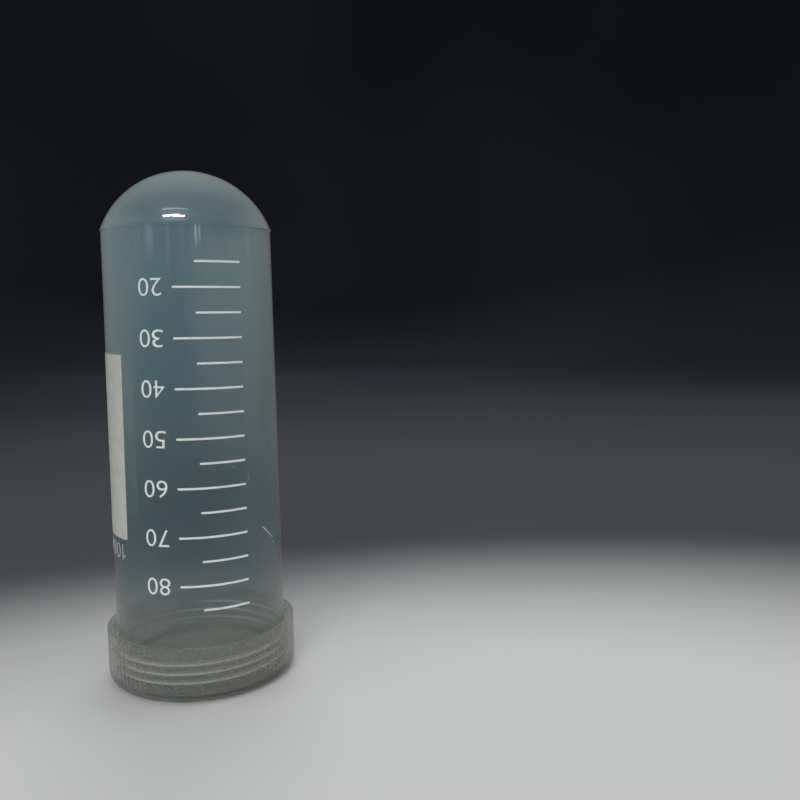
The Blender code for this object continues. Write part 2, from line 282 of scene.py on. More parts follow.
class Tree:
    """A material's node tree, with short calls for the nodes used here."""

    def __init__(self, name):
        self.material = bpy.data.materials.new(name)
        self.material.use_nodes = True
        self.nodes = self.material.node_tree.nodes
        self.nodes.clear()
        self.place = self.node("ShaderNodeTexCoord", output="Object")

    def node(self, kind, *inputs, output=0, settings=None, **named):
        """Adds a node. inputs go to its sockets in order, and named ones by name."""
        made = self.nodes.new(kind)
        for key, value in (settings or {}).items():
            setattr(made, key, value)
        for index, value in enumerate(inputs):
            self.feed(made.inputs[index], value)
        for key, value in named.items():
            self.feed(made.inputs[key.replace("_", " ")], value)
        return Value(self, made.outputs[output])

    def feed(self, socket, value):
        if value is None:
            return
        if isinstance(value, Value):
            self.material.node_tree.links.new(value.socket, socket)
        elif isinstance(value, tuple) and len(value) == 3 and socket.type == "RGBA":
            socket.default_value = (*value, 1.0)
        else:
            socket.default_value = value

    def finish(self, surface):
        self.feed(self.nodes.new("ShaderNodeOutputMaterial").inputs["Surface"], surface)
        return self.material

    def math(self, operation, *inputs, clamp=False):
        settings = {"operation": operation, "use_clamp": clamp}
        return self.node("ShaderNodeMath", *inputs, settings=settings)

    def vector(self, operation, *inputs, output=0, **named):
        settings = {"operation": operation}
        return self.node(
            "ShaderNodeVectorMath", *inputs, output=output, settings=settings, **named
        )

    def blend(self, base, towards, by):
        """Colour mix; sockets 1 to 5 of the node serve other kinds of data."""
        inputs = (by, *[None] * 5, base, towards)
        return self.node("ShaderNodeMix", *inputs, output=2, settings={"data_type": "RGBA"})

    def mix(self, base, other, by):
        return self.node("ShaderNodeMixShader", by, base, other)

    def noise(self, scale=1.0, detail=3.0, rough=0.5, stretch=None):
        """stretch multiplies the place along each axis first."""
        place = self.vector("MULTIPLY", self.place, stretch) if stretch else self.place
        return self.node(
            "ShaderNodeTexNoise", Vector=place, Scale=scale, Detail=detail, Roughness=rough
        )

    def bump(self, height, strength, distance, normal=None):
        return self.node(
            "ShaderNodeBump", Strength=strength, Distance=distance, Height=height, Normal=normal
        )

    def relief(self):
        return self.node("ShaderNodeAttribute", output=2, settings={"attribute_name": "relief"})

    def normal(self):
        return self.node("ShaderNodeNewGeometry", output="Normal")

    def part(self, vector, axis):
        return self.node("ShaderNodeSeparateXYZ", vector, output=axis)

    def around(self):
        """(angle round the axis, height), in radians and metres."""
        x, y, z = (self.part(self.place, axis) for axis in range(3))
        return self.math("ARCTAN2", x, y * -1.0), z

    def cosine(self):
        """1 where the surface faces the viewer, 0 at its outline."""
        facing = self.node("ShaderNodeLayerWeight", output="Facing", Blend=0.5)
        return self.math("SUBTRACT", 1.0, facing, clamp=True)

    def depth(self, density, least):
        """Share of light a wall scatters: it grows as the line of sight runs along the wall."""
        path = density / self.math("MAXIMUM", self.cosine(), least)
        return self.math("SUBTRACT", 1.0, self.math("EXPONENT", path * -1.0), clamp=True)


WHITE = (1.0, 1.0, 1.0)
PLASTIC_IOR = 1.49


def plastic_shell(tree, share, haze, passed, rough, normal, gloss=1.0, sheen=0.25):
    """Light passing straight through, light scattered in the wall, and the skin's reflection.

    share: how much is scattered; haze: its colour; passed: colour of the light passing through;
    gloss: strength of the reflection; sheen: share of it that is soft.
    """
    clear = tree.node("ShaderNodeBsdfTransparent", Color=passed)
    # The wall scatters all through its depth, so it also answers to light from above.
    lifted = tree.vector("NORMALIZE", tree.vector("ADD", normal, (0.0, 0.0, 0.55)))
    front = tree.node("ShaderNodeBsdfDiffuse", Color=haze, Normal=lifted)
    behind = tree.node("ShaderNodeBsdfTranslucent", Color=haze, Normal=normal)
    body = tree.mix(clear, tree.mix(front, behind, by=0.40), by=share)
    crisp, soft = (
        tree.node("ShaderNodeBsdfGlossy", Color=WHITE, Roughness=width, Normal=normal)
        for width in (rough, 0.38)
    )
    shine = tree.mix(crisp, soft, by=sheen)
    # A wall's two faces are nearly parallel, so light never meets one beyond its critical angle.
    leaving = tree.node("ShaderNodeNewGeometry", output="Backfacing")
    index = leaving.ramp(over=(0.0, 1.0), to=(PLASTIC_IOR, 1 / PLASTIC_IOR), smooth=False)
    mirrored = tree.node("ShaderNodeFresnel", IOR=index, Normal=normal) * gloss
    return tree.finish(tree.mix(body, shine, by=mirrored))


# ---------------------------------------------------------------- materials of the tube
# The haze's rise towards the parting ring is mostly painted light from above.
TUBE_DENSITY_AND_TOP_LIGHT = (0.085, 0.45)  # from low on the body to the parting ring
TUBE_HAZE_THIN = (0.31, 0.50, 0.61)
TUBE_HAZE_THICK = (0.50, 0.575, 0.565)
# The second colour, used towards the mouth, is darker: painted shade for the lower body.
TUBE_PASS, TUBE_PASS_SHADED_LOW = (0.735, 0.772, 0.780), (0.575, 0.650, 0.680)

# Painted highlight streaks under the parting ring, short and upright, standing in for reflections
# of the lamps: angle and half width in degrees, heights over which they appear in mm, strength.
PAINTED_SHEEN_STREAKS = (
    (5.9, 0.8, 94.8, 98.6, 0.85),
    (8.2, 0.7, 95.4, 99.0, 0.6),
    (-12.0, 1.6, 89.0, 97.0, 0.16),
    (-24.0, 3.4, 93.0, 98.5, 0.26),
)
# Angle in degrees, height in mm, lean, half length and half width in mm, strength.
SCRATCHES = (
    (53.0, 34.0, 1.16, 2.0, 0.36, 1.0),
    (60.0, 31.2, 0.8, 0.5, 0.26, 0.7),
    (36.0, 47.5, 0.18, 1.25, 0.17, 0.50),
    (25.0, 50.1, 0.8, 0.22, 0.20, 0.55),
)
SCRATCH_R = 18.8 * MM  # turns angles into lengths along the wall


# Mask of the painted highlight streaks: the lamps' reflections painted into the wall's haze.
def painted_sheen_streaks(angle, z, flow_and_sheen):
    sheen_streaks = None
    for at, half, low, high, strength in PAINTED_SHEEN_STREAKS:
        one = angle.window(at=at, half=half * 0.4, soft=half)
        one *= z.ramp(over=(low * MM, high * MM), to=(0.0, strength))
        sheen_streaks = one if sheen_streaks is None else sheen_streaks + one
    sheen_streaks *= flow_and_sheen.ramp(over=(0.38, 0.55), to=(0.35, 1.0))
    return sheen_streaks * z.ramp(over=(RING_Z + 0.2 * MM, RING_Z - 0.5 * MM))


def scratches(tree, angle, z):
    found = None
    for at, height, lean, half_length, half_width, strength in SCRATCHES:
        rise = z - height * MM
        off = (angle - math.radians(at)) * SCRATCH_R + rise * lean
        one = abs(off).ramp(over=(0.35 * half_width * MM, half_width * MM), to=(1.0, 0.0))
        ends = (half_length * 0.75 * MM, half_length * MM)
        one *= abs(rise).ramp(over=ends, to=(strength, 0.0))
        found = one if found is None else tree.math("MAXIMUM", found, one)
    return found * tree.noise(scale=2600.0, detail=2.0).ramp(over=(0.35, 0.6), to=(0.55, 1.0))


def tube_outside():
    tree = Tree("clear_polypropylene_outside")
    angle, z = tree.around()
    # The noise is stretched upright along the moulding direction. Just below the parting ring it
    # paints lighter streaks, a painted sheen standing in for reflections of the lamps.
    flow_and_sheen = tree.noise(detail=4.0, rough=0.6, stretch=(520.0, 520.0, 16.0))
    broad = tree.noise(detail=2.0, stretch=(130.0, 130.0, 12.0))
    below_ring = z.ramp(over=(RING_Z - 16 * MM, RING_Z - 1 * MM))
    below_ring *= z.ramp(over=(RING_Z + 0.3 * MM, RING_Z - 0.1 * MM))
    ring_sheen = flow_and_sheen.ramp(over=(0.52, 0.68)) * below_ring
    cloud = tree.noise(scale=60.0, rough=0.55)
    # The wall scatters more towards the round end, and unevenly. The rise is partly a thicker wall
    # and mostly painted light: the upper tube made lighter, as if lit from above.
    density = z.ramp(over=(30 * MM, RING_Z), to=TUBE_DENSITY_AND_TOP_LIGHT)
    density *= cloud.ramp(over=(0.2, 0.8), to=(0.88, 1.12), smooth=False)
    density *= broad.ramp(over=(0.25, 0.75), to=(0.93, 1.07), smooth=False)
    density += ring_sheen * 0.09
    # A broad milkier band runs up the wall; all of the wall gains 4 per cent with it.
    milky = angle.window(at=25, half=10, soft=24) * z.ramp(over=(42 * MM, 64 * MM))
    milky *= z.ramp(over=(RING_Z + 0.5 * MM, RING_Z - 4 * MM))
    density *= milky * 0.32 + 1.04
    # Painted highlight: denser, pale blue streaks where the lamps' reflections fall.
    sheen_streaks = painted_sheen_streaks(angle, z, flow_and_sheen)
    density += sheen_streaks * 0.55
    # The dome is clearer, but a little milkier right at its crown: a painted sheen from the light
    # above.
    density *= z.ramp(over=(RING_Z - 1 * MM, RING_Z + 5 * MM), to=(1.0, 0.50))
    density += z.ramp(over=(TUBE_TOP - 5 * MM, TUBE_TOP), to=(0.0, 0.06))
    # The thread's crests are thicker, so they scatter a little more. Beyond that they are made
    # dense and near white: painted highlight lines, standing in for light caught along the thread
    # inside the cap. The power keeps it to the crests.
    relief = tree.relief() ** 3.5
    density += relief * 3.4
    share = tree.depth(density, least=0.22)
    scuff = scratches(tree, angle, z)
    share = tree.math("MAXIMUM", share, scuff * 0.95)

    # Haze colour: thick where the wall is seen edge on. The warm thick tint at the crown is a
    # painted highlight from the light above. Then local tints.
    edge = tree.cosine().ramp(over=(0.88, 0.22))
    crown = z.ramp(over=(RING_Z + 9.5 * MM, TUBE_TOP - 0.5 * MM), to=(0.0, 0.85))
    colour = tree.blend(TUBE_HAZE_THIN, TUBE_HAZE_THICK, by=tree.math("MAXIMUM", edge, crown))
    left = angle.ramp(over=(math.radians(-18), math.radians(-55)), to=(0.0, 0.45))
    right = angle.ramp(over=(math.radians(22), math.radians(60)), to=(0.0, 0.45))
    patches = tree.noise(scale=38.0, detail=2.0).ramp(over=(0.35, 0.65), to=(0.0, 0.30))
    neck = z.ramp(over=(14 * MM, 29 * MM), to=(0.75, 0.0))
    for tint, where in (
        ((0.36, 0.51, 0.52), patches),
        # pale blue painted highlight streaks
        ((0.80, 0.90, 0.98), sheen_streaks),
        ((0.50, 0.58, 0.565), milky * 0.40),
        ((0.40, 0.535, 0.56), left),  # greener
        ((0.50, 0.545, 0.54), right),  # warmer
        ((0.56, 0.55, 0.49), neck),  # a warm grey, where the wall looks thicker
        # near white painted highlight on the thread's crests
        ((1.0, 1.0, 0.98), relief),
        ((0.97, 0.95, 0.90), scuff),
    ):
        colour = tree.blend(colour, tint, by=where)

    # Skin: fine orange peel, hairline scratches round the girth, and duller patches.
    peel = tree.noise(scale=900.0, detail=2.0)
    hair = tree.noise(detail=1.0, stretch=(40.0, 40.0, 5200.0))
    handled = tree.noise(scale=45.0, detail=4.0, rough=0.65)
    height = peel * 0.6 + hair.ramp(over=(0.66, 0.74)) * 0.25 + flow_and_sheen * 0.45
    normal = tree.bump(height, strength=0.22, distance=0.005 * MM)
    rough = handled.ramp(over=(0.35, 0.7), to=(0.03, 0.065)) + scuff * 0.3
    # The parting ring's edge is a little torn, so it has no crisp shine.
    rough += abs(z - RING_Z).ramp(over=(0.35 * MM, 0.6 * MM), to=(1.0, 0.0)) * 0.08
    # Towards the mouth the plastic lets less of the light through: painted shade, darkening the
    # lower body as if the light falls from above.
    low = z.ramp(over=(32 * MM, 66 * MM), to=(1.0, 0.0))
    passed = tree.blend(TUBE_PASS, TUBE_PASS_SHADED_LOW, by=low)
    at_neck = z.ramp(over=(14 * MM, 28 * MM), to=(1.0, 0.0))
    passed = tree.blend(passed, towards=(0.670, 0.672, 0.650), by=at_neck)
    return plastic_shell(tree, share, colour, passed, rough, normal)


def tube_inside():
    tree = Tree("clear_polypropylene_inside")
    mist = tree.noise(scale=70.0, rough=0.6)
    fine = tree.noise(scale=1600.0, detail=2.0)
    return plastic_shell(
        tree,
        share=tree.depth(mist.ramp(over=(0.3, 0.7), to=(0.03, 0.065)), least=0.10),
        haze=(0.60, 0.68, 0.70),
        passed=(0.96, 0.98, 0.985),
        rough=mist.ramp(over=(0.3, 0.7), to=(0.16, 0.30)),
        normal=tree.bump(fine, strength=0.3, distance=0.01 * MM),
        gloss=0.55,
        sheen=0.5,
    )


# ---------------------------------------------------------------- materials of cap and seal
def softened_normal(tree):
    """Light spreads inside the frosted wall, so the ribs shade more softly than their shape."""
    faced = tree.normal()
    outward = tree.vector("NORMALIZE", tree.vector("MULTIPLY", tree.place, (1.0, 1.0, 0.0)))
    side = tree.vector("DOT_PRODUCT", faced, outward, output=1)
    lean = side * abs(side) * 2.0
    scaled = tree.vector("SCALE", outward, Scale=lean)
    return tree.vector("NORMALIZE", tree.vector("ADD", faced, scaled))


def cap_outside():
    tree = Tree("frosted_polypropylene_outside")
    z = tree.part(tree.place, axis=2)
    grain = tree.noise(scale=2500.0, detail=2.0, rough=0.6)
    mottled = tree.noise(scale=260.0, detail=4.0, rough=0.6)
    cloud = tree.noise(scale=55.0, detail=2.0)
    # Mottled, with slightly denser ribs and a fine grain.
    density = mottled.ramp(over=(0.3, 0.7), to=(0.11, 0.18), smooth=False)
    density += (tree.relief() - 0.5) * 0.025
    density += grain.ramp(over=(0.36, 0.68), to=(-0.10, 0.26), smooth=False)
    # Below the thread the skirt is a single wall, and clearer.
    density *= z.ramp(over=(1.6 * MM, 3.8 * MM), to=(0.22, 1.0))
    # Cloudy grey, warmer at the outline, with pale grains.
    clouds = cloud.ramp(over=(0.35, 0.65))
    colour = tree.blend((0.42, 0.44, 0.42), towards=(0.475, 0.465, 0.425), by=clouds)
    edge = tree.cosine().ramp(over=(0.7, 0.2), to=(0.0, 0.6))
    colour = tree.blend(colour, towards=(0.46, 0.455, 0.425), by=edge)
    grains = grain.ramp(over=(0.56, 0.74)) * 0.6
    colour = tree.blend(colour, towards=(0.86, 0.85, 0.81), by=grains)
    height = grain * 0.7 + mottled * 0.6
    return plastic_shell(
        tree,
        share=tree.depth(density, least=0.16),
        haze=colour,
        passed=(0.83, 0.84, 0.83),
        rough=mottled.ramp(over=(0.3, 0.7), to=(0.28, 0.40)),
        normal=tree.bump(height, strength=0.8, distance=0.04 * MM, normal=softened_normal(tree)),
        gloss=0.8,
    )


def cap_inside():
    tree = Tree("frosted_polypropylene_inside")
    mottled = tree.noise(scale=300.0, rough=0.6)
    ridge = tree.relief()
    # The closed end lies flat. Its faces are made hazier and warmer than the skirt's bore: painted
    # light, standing in for the light that falls on them from above through the tube.
    flat = abs(tree.part(tree.normal(), axis=2)).ramp(over=(0.6, 0.95))
    # Along the thread ridges the haze is a little denser and lighter: a faint painted highlight.
    density = mottled.ramp(over=(0.3, 0.7), to=(0.06, 0.10)) + ridge * 0.10 + flat * 0.34
    colour = tree.blend((0.48, 0.49, 0.47), towards=(0.56, 0.56, 0.53), by=ridge)
    fine = tree.noise(scale=1500.0, detail=2.0)
    return plastic_shell(
        tree,
        share=tree.depth(density, least=0.16),
        haze=tree.blend(colour, towards=(0.70, 0.655, 0.57), by=flat),
        passed=(0.94, 0.96, 0.955),
        rough=mottled.ramp(over=(0.3, 0.7), to=(0.2, 0.32)),
        normal=tree.bump(fine, strength=0.4, distance=0.02 * MM),
        gloss=0.8,
    )


def silicone():
    tree = Tree("soft_clear_silicone")
    dust = tree.noise(scale=900.0, rough=0.6)
    dusty = dust.ramp(over=(0.35, 0.65))
    return plastic_shell(
        tree,
        share=dust.ramp(over=(0.3, 0.7), to=(0.40, 0.55)),
        haze=tree.blend((0.34, 0.35, 0.335), towards=(0.42, 0.42, 0.395), by=dusty),
        passed=(0.92, 0.92, 0.90),
        rough=dust.ramp(over=(0.3, 0.7), to=(0.35, 0.55)),
        normal=tree.bump(dust, strength=0.4, distance=0.02 * MM),
        gloss=0.8,
    )


def ink(name, colour, worn, speck, roughness, opacity):
    """Screen-printed ink: slightly uneven in cover, with pinholes and a dry, grainy skin."""
    tree = Tree(name)
    grain = tree.noise(scale=3800.0, rough=0.7)
    cover = tree.noise(scale=420.0, detail=4.0, rough=0.6)
    pinholes = tree.noise(scale=2300.0, detail=1.0).ramp(over=(0.70, 0.76))
    tone = tree.blend(worn, colour, by=cover.ramp(over=(0.3, 0.7)))
    grains = grain.ramp(over=(0.55, 0.75)) * speck
    tone = tree.blend(tone, towards=tuple(part * 0.72 for part in worn), by=grains)
    tone = tree.blend(tone, towards=(0.35, 0.38, 0.39), by=pinholes * speck)
    skin = tree.node(
        "ShaderNodeBsdfPrincipled",
        Base_Color=tone,
        Roughness=grain.ramp(over=(0.3, 0.7), to=(roughness - 0.08, roughness + 0.1)),
        Normal=tree.bump(grain + cover, strength=0.5, distance=0.02 * MM),
        Specular_IOR_Level=0.35,
    )
    # The film is thin: light that falls on its face glows through to the side towards the tube.
    outward = tree.vector("MULTIPLY", tree.place, (1.0, 1.0, 0.0))
    facing = tree.vector("DOT_PRODUCT", tree.normal(), outward, output=1)
    glow = tree.node("ShaderNodeBsdfTranslucent", Color=tone)
    skin = tree.mix(skin, glow, by=facing.ramp(over=(0.0, -0.001), to=(0.0, 0.55)))
    clear = tree.node("ShaderNodeBsdfTransparent", Color=(0.95, 0.97, 0.98))
    solid = cover.ramp(over=(0.2, 0.6), to=(opacity - 0.06, opacity))
    # Its shadow on the tube is weaker than the film itself.
    shadow = tree.node("ShaderNodeLightPath", output="Is Shadow Ray")
    solid *= shadow.ramp(over=(0.0, 1.0), to=(1.0, 0.55), smooth=False)
    return tree.finish(tree.mix(clear, skin, by=solid))


TUBE_MATS = [tube_outside(), tube_inside()]
CAP_MATS = [cap_outside(), cap_inside()]
SEAL_MAT = silicone()
# Name, colour, worn colour, strength of the specks, roughness, opacity.
INK_MAT, THIN_INK_MAT, PATCH_MAT = (
    ink(*row)
    for row in (
        ("white_ink", (0.95, 0.97, 0.965), (0.86, 0.89, 0.89), 0.26, 0.55, 0.98),
        ("thin_white_ink", (0.62, 0.66, 0.66), (0.50, 0.54, 0.54), 0.5, 0.6, 0.9),
        ("patch_ink", (0.655, 0.67, 0.615), (0.60, 0.615, 0.57), 0.35, 0.72, 0.99),
    )
)

# ---------------------------------------------------------------- the tube
GATE_RISE = 0.12 * MM  # witness of the moulding gate at the crown
# Radius and drop in mm; from a drop of 0.12 on, the dome's own fall is added.
CROWN_GATE = ((0.35, 0.0), (0.62, 0.015), (0.80, 0.05), (0.92, 0.12), (1.05, 0.135), (1.3, 0.14))
DOME_START_R = 1.4 * MM
# Nibs torn from the parting ring's flash: angle in degrees and height.
NIBS = (
    (-84.4, 1.0), (85.4, 0.8), (-47.0, 0.35), (31.0, 0.3), (128.0, 0.7), (171.0, 0.5), (214.0, 0.8),
)
# The flash's section: height off the ring and bulge, in mm.
FLASH = (
    (0.34, 0.005), (0.26, 0.025), (0.17, 0.06), (0.08, 0.09), (0.0, 0.10),
    (-0.08, 0.09), (-0.17, 0.06), (-0.26, 0.022), (-0.36, 0.0),
)
INNER_DOME_Z = RING_Z + 0.4 * MM
RIM_OUT, RIM_IN = 0.28 * MM, 0.22 * MM  # rounding of the rim's two edges


def add_parting_ring(skin):
    phi = angles(COLUMNS)
    nib = sum(
        tall
        * np.exp(
            -((((phi - math.radians(at) + math.pi) % math.tau - math.pi) / math.radians(2.2)) ** 2)
        )
        for at, tall in NIBS
    )
    flash = 0.65 + 0.5 * np.abs(np.sin(3 * phi + 1.0) * np.sin(7 * phi + 0.4)) + 1.9 * nib
    for off, out in FLASH:
        relief = 0.62 * nib * min(1.0, out / 0.09)
        skin.ring(RING_R + out * flash * MM, RING_Z + off * MM, relief=relief)


def build_tube():
    skin = Skin(COLUMNS)
    sphere = sphere_cap(RING_R, RING_Z + 0.42 * MM, TUBE_TOP - GATE_RISE)
    skin.pole(TUBE_TOP)
    for radius, drop in CROWN_GATE:
        radius *= MM
        fall = sphere[0] - math.sqrt(sphere[0] ** 2 - radius**2)
        skin.ring(radius, TUBE_TOP - drop * MM - fall * (drop > 0.1))
    skin.rings(point for point in dome(sphere, range(2, 57), 56) if point[0] > DOME_START_R)
    add_parting_ring(skin)
    for z in np.linspace(RING_Z - 0.6 * MM, CAP_TOP + 0.3 * MM, 24):
        skin.ring(body_radius(z), z)
    skin.rings((
        (body_radius(CAP_TOP), CAP_TOP),
        (MOUTH_R - 0.03 * MM, CAP_TOP - 0.35 * MM),
        (MOUTH_R - 0.10 * MM, CAP_TOP - 0.8 * MM),
        (NECK_R + 0.03 * MM, NECK_TOP + 0.15 * MM),
    ))
    for z in np.arange(NECK_TOP, RIM_Z + 0.32 * MM, -0.075 * MM):
        rise = thread(COLUMNS, z, *TUBE_THREAD, THREAD_Z)
        skin.ring(NECK_R + THREAD_DEPTH * rise, z, relief=rise)
    skin.rings(arc(NECK_R - RIM_OUT, RIM_Z + RIM_OUT, RIM_OUT, 0, -90, 5))
    skin.rings(arc(TUBE_BORE_R + RIM_IN, RIM_Z + RIM_IN, RIM_IN, -90, -180, 4), INSIDE)
    for z in np.linspace(RIM_Z + 0.6 * MM, CAP_TOP, 6):
        skin.ring(TUBE_BORE_R, z, INSIDE)
    end_r = RING_R - WALL
    for z in np.linspace(CAP_TOP + 4 * MM, RING_Z, 12):
        taper = (end_r - TUBE_BORE_R) * (z - CAP_TOP) / (INNER_DOME_Z - CAP_TOP)
        skin.ring(TUBE_BORE_R + taper, z, INSIDE)
    sphere = sphere_cap(end_r, INNER_DOME_Z, TUBE_TOP - WALL)
    skin.rings(dome(sphere, range(48, 0, -1), 48), INSIDE)
    skin.pole(TUBE_TOP - WALL, INSIDE)
    hand_over(skin.object("tube_body", TUBE_MATS), "tube", "tube")


# ---------------------------------------------------------------- the cap
CAP_GATE_H = 0.6 * MM
# Gate stub in the recess: radius and height below the recess's face, in mm.
CAP_GATE = ((1.45, 0.0), (1.2, 0.08), (1.05, 0.3), (0.95, 0.52), (0.75, 0.60), (0.35, 0.57))
LIP_R = PLUG_R - PLUG_WALL  # bore of the sealing lip
FLOOR_FILLET, LIP_IN, LIP_OUT = 0.5 * MM, 0.3 * MM, 0.4 * MM
RECESS_FILLET = 0.4 * MM


def add_cap_inside(skin):
    """The plug's floor, its sealing lip, the gutter round it and the threaded bore."""
    skin.pole(PLUG_FLOOR, INSIDE)
    skin.rings((
        *((radius * MM, PLUG_FLOOR) for radius in (4, 9, 13)),
        *arc(LIP_R - FLOOR_FILLET, PLUG_FLOOR + FLOOR_FILLET, FLOOR_FILLET, -90, 0, 5),
        (LIP_R, PLUG_TOP - 0.5 * MM),
        *arc(LIP_R + LIP_IN, PLUG_TOP - LIP_IN, LIP_IN, 180, 90, 5),
        *arc(PLUG_R - LIP_OUT, PLUG_TOP - LIP_OUT, LIP_OUT, 90, 0, 6),
        (PLUG_R - 0.03 * MM, PLUG_TOP - 1.4 * MM),
        (PLUG_R, CAP_FLOOR + 0.25 * MM),
        (PLUG_R + 0.15 * MM, CAP_FLOOR),
        (CAP_BORE_R - 0.3 * MM, CAP_FLOOR),
        (CAP_BORE_R, CAP_FLOOR + 0.3 * MM),
    ), INSIDE)
    for z in np.arange(CAP_FLOOR + 0.8 * MM, CAP_TOP - 0.9 * MM, 0.08 * MM):
        rise = thread(CAP_COLUMNS, z, *CAP_THREAD, THREAD_Z + PITCH / 2)
        skin.ring(CAP_BORE_R - (CAP_BORE_R - NECK_R - THREAD_GAP) * rise, z, INSIDE, rise)
    # Rounded mouth: widening and depth below the top, in mm.
    for out, down in ((0.03, 0.6), (0.12, 0.25), (0.24, 0.07), (0.36, 0.0)):
        skin.ring(CAP_BORE_R + out * MM, CAP_TOP - down * MM, INSIDE)


def add_skirt(skin):
    """The ribbed outside, down to where the ribs fade into the rounded lower edge."""
    ribs = step(0.5 + 0.5 * np.cos(RIBS * angles(RIB_COLUMNS)), 0.0, 1.0)

    def ribbed(radius, z, strength):
        skin.ring(
            radius - RIB_DEPTH * (1 - ribs) * strength,
            z,
            relief=0.5 + (ribs * strength - 0.5 * strength),
            columns=RIB_COLUMNS,
        )

    # Rounded top edge: inset and depth in mm, strength of the ribs.
    for inset, down, strength in (
        (0.42, 0.0, 0.55), (0.20, 0.03, 0.85), (0.08, 0.10, 1.0), (0.0, 0.26, 1.0),
    ):
        ribbed(CAP_R - inset * MM, CAP_TOP - down * MM, strength)
    for z in np.linspace(CAP_TOP - 0.9 * MM, CAP_EDGE + 0.2 * MM, 9):
        ribbed(CAP_R, z, 1.0)
    for i, (radius, z) in enumerate(arc(CAP_R - CAP_EDGE, CAP_EDGE, CAP_EDGE, 0, -90, 16)):
        strength = float(1 - step(i, 1, 9))
        if strength > 0:
            ribbed(radius, z, strength)
        else:
            skin.ring(radius, z, relief=0.5)


def add_recess(skin):
    """The bevelled recess in the closed end, with the gate stub in its middle."""
    bevel_r = RECESS_R + RECESS_BEVEL
    fillet_z = RECESS_DEPTH - RECESS_FILLET
    skin.rings((
        (bevel_r + 0.25 * MM, 0.0),
        (bevel_r - 0.05 * MM, 0.08 * MM),
        (RECESS_R + 0.08 * MM, RECESS_BEVEL),
        (RECESS_R - 0.06 * MM, RECESS_BEVEL + 0.28 * MM),
        *arc(RECESS_R - 0.5 * MM, fillet_z, RECESS_FILLET, 0, 90, 5),
        *((radius * MM, RECESS_DEPTH) for radius in (13.0, 9.0, 5.0, 2.2)),
        *((radius * MM, RECESS_DEPTH - down * MM) for radius, down in CAP_GATE),
    ), relief=0.5)
    skin.pole(RECESS_DEPTH - CAP_GATE_H * 0.93)


def build_cap():
    skin = Skin(CAP_COLUMNS)
    add_cap_inside(skin)
    add_skirt(skin)
    add_recess(skin)
    hand_over(skin.object("cap_shell", CAP_MATS), "cap", "cap")


# ---------------------------------------------------------------- the seal ring
SEAL_INNER_R = PLUG_R + 0.3 * MM
SEAL_CORNER = 0.22 * MM
SEAL_COLUMNS = 192


def build_seal():
    left, right = SEAL_INNER_R + SEAL_CORNER, SEAL_HIGH.x - SEAL_CORNER
    low, high = SEAL_LOW.z + SEAL_CORNER, SEAL_HIGH.z - SEAL_CORNER
    section = [
        *arc(right, high, SEAL_CORNER, 90, 0, 4),
        *arc(right, low, SEAL_CORNER, 0, -90, 4),
        *arc(left, low, SEAL_CORNER, -90, -180, 4),
        *arc(left, high, SEAL_CORNER, 180, 90, 4),
    ]
    size = len(section)
    points = []
    for j in range(SEAL_COLUMNS):
        phi = math.tau * j / SEAL_COLUMNS
        points += [(radius * math.sin(phi), -radius * math.cos(phi), z) for radius, z in section]
    faces = []
    for j in range(SEAL_COLUMNS):
        here, beyond = j * size, (j + 1) % SEAL_COLUMNS * size
        for i in range(size):
            k = (i + 1) % size
            faces.append((here + i, here + k, beyond + k, beyond + i))
    mesh = bpy.data.meshes.new("gasket")
    mesh.from_pydata(points, [], faces)
    turn_outwards(mesh)
    mesh.materials.append(SEAL_MAT)
    mesh.shade_smooth()
    hand_over(linked("gasket", mesh), "seal", "seal_ring")


# ---------------------------------------------------------------- the print
PRINT_TILT = math.radians(-0.6)
TILT_COS, TILT_SIN = math.cos(PRINT_TILT), math.sin(PRINT_TILT)
PRINT_ANGLE, PRINT_Z, PRINT_R = math.radians(10.0), 56.0 * MM, 18.65 * MM
INK_LIFT, INK_THICK = 0.045 * MM, 0.035 * MM
# The figure 1, with a height of 1.
ONE = (
    (0.30, 0.0), (0.41, 0.0), (0.41, 1.0), (0.33, 1.0), (0.25, 0.92), (0.13, 0.83),
    (0.0, 0.76), (0.0, 0.65), (0.12, 0.70), (0.22, 0.76), (0.30, 0.83),
)


def laid_out(node):
    """The node's box on the flat, uncurled print: (left, right, low, high)."""
    points = np.array([v.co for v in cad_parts[node].data.vertices], float)
    along = (np.arctan2(points[:, 0], -points[:, 1]) - PRINT_ANGLE) * PRINT_R
    rise = points[:, 2] - PRINT_Z
    x, y = along * TILT_COS + rise * TILT_SIN, -along * TILT_SIN + rise * TILT_COS
    return x.min(), x.max(), y.min(), y.max()


def wrapped(x, y, lift):
    """A point of the flat print laid on the tube."""
    angle = PRINT_ANGLE + (x * TILT_COS - y * TILT_SIN) / PRINT_R
    z = PRINT_Z + x * TILT_SIN + y * TILT_COS
    radius = body_radius(z) + lift
    return Vector((radius * math.sin(angle), -radius * math.cos(angle), z))


def curve_mesh(curve):
    holder = linked("holder", curve)
    bpy.context.view_layer.update()
    graph = bpy.context.evaluated_depsgraph_get()
    mesh = bpy.data.meshes.new_from_object(holder.evaluated_get(graph), depsgraph=graph)
    bpy.data.objects.remove(holder, do_unlink=True)
    bpy.data.curves.remove(curve)
    return mesh


def outline(points):
    curve = bpy.data.curves.new("outline", "CURVE")
    curve.dimensions = "2D"
    curve.fill_mode = "BOTH"
    spline = curve.splines.new("POLY")
    spline.points.add(len(points) - 1)
    for point, (x, y) in zip(spline.points, points):
        point.co = (x, y, 0.0, 1.0)
    spline.use_cyclic_u = True
    return curve_mesh(curve)


